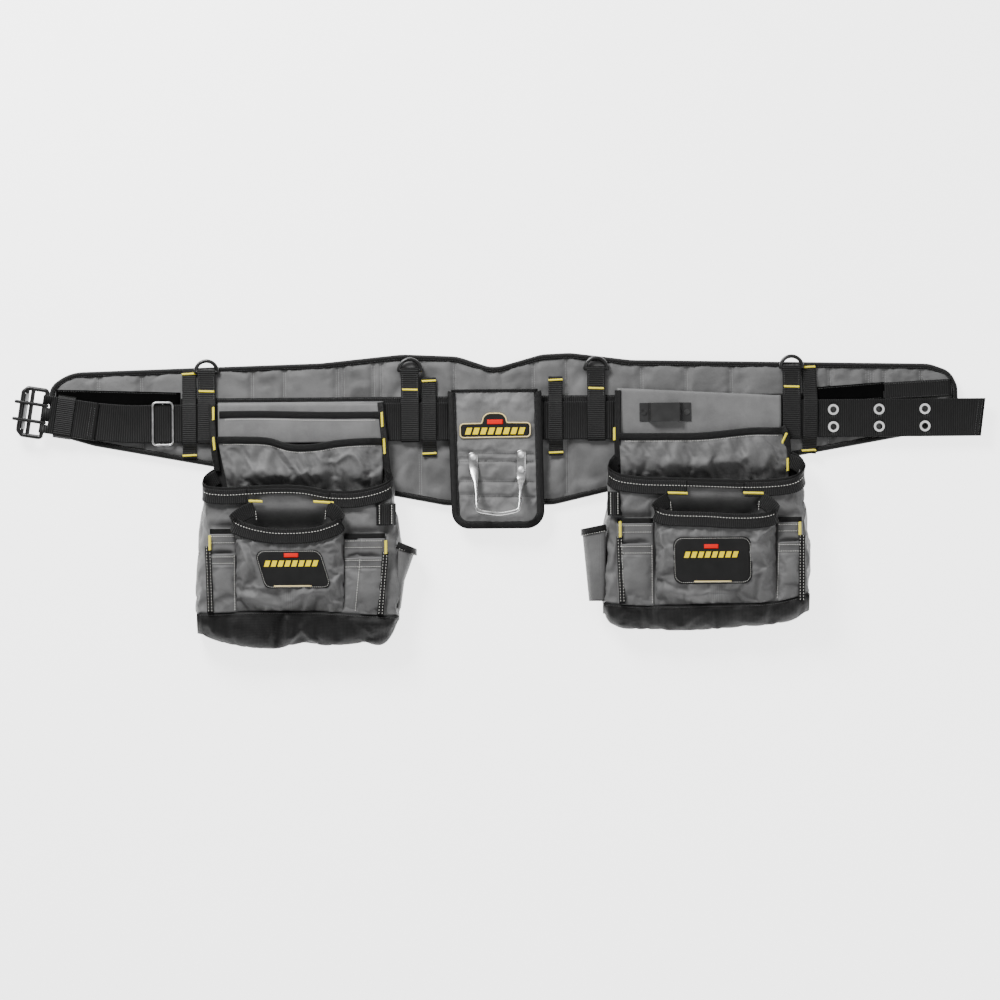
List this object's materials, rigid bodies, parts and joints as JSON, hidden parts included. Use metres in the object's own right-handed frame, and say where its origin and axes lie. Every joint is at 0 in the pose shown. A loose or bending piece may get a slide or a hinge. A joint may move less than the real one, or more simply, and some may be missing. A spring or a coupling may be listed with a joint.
{
  "type": "tool belt",
  "caption": "Padded carpenter's tool belt laid open, with a double-prong roller buckle, web belt, D-ring hangers, a hammer holder and nail pouches.",
  "frame": {"origin": "centre of the bounding box on the surface that the open belt lies on", "axes": "+X along the web belt to its tongue end, +Y to the belt's upper edge, +Z out of the belt's face"},
  "size_m": [1.36, 0.4082, 0.0756],
  "materials": {
    "grey_nylon": "satin woven nylon",
    "black_webbing": "ribbed webbing",
    "black_binding": "folded tape",
    "black_base": "heavy woven nylon",
    "mesh_lining": "spacer mesh",
    "foam": "closed foam",
    "patch_vinyl": "matte moulded",
    "black_steel": "black enamel",
    "bright_steel": "polished"
  },
  "bodies": {
    "belt": {"belt_lining": "mesh_lining", "belt_foam": "foam", "belt_face": "grey_nylon", "belt_edge_binding": "black_binding", "backing_bands": "black_webbing", "keeper_loop_1": "black_webbing", "keeper_loop_2": "black_webbing", "keeper_loop_3": "black_webbing", "keeper_loop_4": "black_webbing", "end_keeper": "black_webbing", "web_belt": "black_webbing", "tongue_eyelets": "bright_steel"},
    "buckle": {"buckle_frame": "black_steel"},
    "prong_upper": {"prong_upper": "black_steel"},
    "prong_lower": {"prong_lower": "black_steel"},
    "roller": {"buckle_roller": "bright_steel"},
    "adjuster": {"slide_adjuster": "bright_steel"},
    "hanger_1": {"hanger_1": "black_webbing"},
    "ring_1": {"d_ring_1": "black_steel"},
    "hanger_2": {"hanger_2": "black_webbing"},
    "ring_2": {"d_ring_2": "black_steel"},
    "hanger_3": {"hanger_3": "black_webbing"},
    "ring_3": {"d_ring_3": "black_steel"},
    "hanger_4": {"hanger_4": "black_webbing"},
    "ring_4": {"d_ring_4": "black_steel"},
    "hammer_holder": {"hammer_loop": "bright_steel", "hammer_loop_rivets": "bright_steel", "holder_binding": "black_binding", "holder_panel": "grey_nylon", "holder_patch": "patch_vinyl", "holder_sleeve": "grey_nylon"},
    "left_sleeve": {"left_sleeve": "grey_nylon", "left_flat_pocket": "grey_nylon"},
    "right_sleeve": {"right_sleeve": "grey_nylon", "tape_clip": "black_steel", "tape_clip_rivets": "bright_steel"},
    "left_pouch": {"left_back_panel": "grey_nylon", "left_base": "black_base", "left_front_panel": "grey_nylon", "left_front_pocket": "grey_nylon", "left_front_pocket_rim": "black_webbing", "left_gussets": "grey_nylon", "left_patch": "patch_vinyl", "left_rim_band": "black_webbing", "left_side_pocket": "grey_nylon", "left_strap_loop": "black_webbing", "left_tool_pockets": "grey_nylon", "left_upper_pocket": "grey_nylon"},
    "right_pouch": {"right_back_panel": "grey_nylon", "right_base": "black_base", "right_front_panel": "grey_nylon", "right_front_pocket": "grey_nylon", "right_front_pocket_rim": "black_webbing", "right_gussets": "grey_nylon", "right_patch": "patch_vinyl", "right_rim_band": "black_webbing", "right_side_pocket": "grey_nylon", "right_strap_loop": "black_webbing", "right_tool_pockets": "grey_nylon", "right_upper_pocket": "grey_nylon"}
  },
  "joints": [
    {"name": "buckle_hinge", "type": "hinge", "parent": "belt", "child": "buckle", "pos_m": [-0.636, 0.1254, 0.01795], "axis": [0.1547, 0.988, 0], "range_deg": [0, 50]},
    {"name": "prong_upper_hinge", "type": "hinge", "parent": "buckle", "child": "prong_upper", "pos_m": [-0.63414, 0.13726, 0.01795], "axis": [0.1547, 0.988, 0], "range_deg": [0, 95]},
    {"name": "prong_lower_hinge", "type": "hinge", "parent": "buckle", "child": "prong_lower", "pos_m": [-0.63786, 0.11354, 0.01795], "axis": [0.1547, 0.988, 0], "range_deg": [0, 95]},
    {"name": "roller_spin", "type": "hinge", "parent": "buckle", "child": "roller", "pos_m": [-0.66268, 0.12958, 0.01795], "axis": [0.1547, 0.988, 0], "continuous": true},
    {"name": "adjuster_slide", "type": "slide", "parent": "belt", "child": "adjuster", "axis": [1, 0, 0], "range_m": [-0.03, 0.008]},
    {"name": "hanger_1_slide", "type": "slide", "parent": "belt", "child": "hanger_1", "axis": [1, 0, 0], "range_m": [-0.0015, 0.0015]},
    {"name": "ring_1_hinge", "type": "hinge", "parent": "hanger_1", "child": "ring_1", "pos_m": [-0.4089, 0.1825, 0.0146], "axis": [1, 0, 0], "range_deg": [0, 120]},
    {"name": "hanger_2_slide", "type": "slide", "parent": "belt", "child": "hanger_2", "axis": [1, 0, 0], "range_m": [-0.022, 0.0035]},
    {"name": "ring_2_hinge", "type": "hinge", "parent": "hanger_2", "child": "ring_2", "pos_m": [-0.1246, 0.1825, 0.0146], "axis": [1, 0, 0], "range_deg": [0, 120]},
    {"name": "hanger_3_slide", "type": "slide", "parent": "belt", "child": "hanger_3", "axis": [1, 0, 0], "range_m": [-0.033, 0.0145]},
    {"name": "ring_3_hinge", "type": "hinge", "parent": "hanger_3", "child": "ring_3", "pos_m": [0.1358, 0.1825, 0.0146], "axis": [1, 0, 0], "range_deg": [0, 120]},
    {"name": "hanger_4_slide", "type": "slide", "parent": "belt", "child": "hanger_4", "axis": [1, 0, 0], "range_m": [-0.001, 0.0008]},
    {"name": "ring_4_hinge", "type": "hinge", "parent": "hanger_4", "child": "ring_4", "pos_m": [0.409, 0.1825, 0.0146], "axis": [1, 0, 0], "range_deg": [0, 120]},
    {"name": "holder_slide", "type": "slide", "parent": "belt", "child": "hammer_holder", "axis": [1, 0, 0], "range_m": [-0.014, 0.008]},
    {"name": "left_pouch_slide", "type": "slide", "parent": "belt", "child": "left_sleeve", "axis": [1, 0, 0], "range_m": [-0.001, 0.02]},
    {"name": "left_pouch_swing", "type": "hinge", "parent": "left_sleeve", "child": "left_pouch", "pos_m": [-0.2815, 0.08, 0.0248], "axis": [-1, 0, 0], "range_deg": [0, 75]},
    {"name": "right_pouch_slide", "type": "slide", "parent": "belt", "child": "right_sleeve", "axis": [1, 0, 0], "range_m": [-0.014, 0.0008]},
    {"name": "right_pouch_swing", "type": "hinge", "parent": "right_sleeve", "child": "right_pouch", "pos_m": [0.288, 0.08, 0.0248], "axis": [-1, 0, 0], "range_deg": [0, 75]}
  ]
}
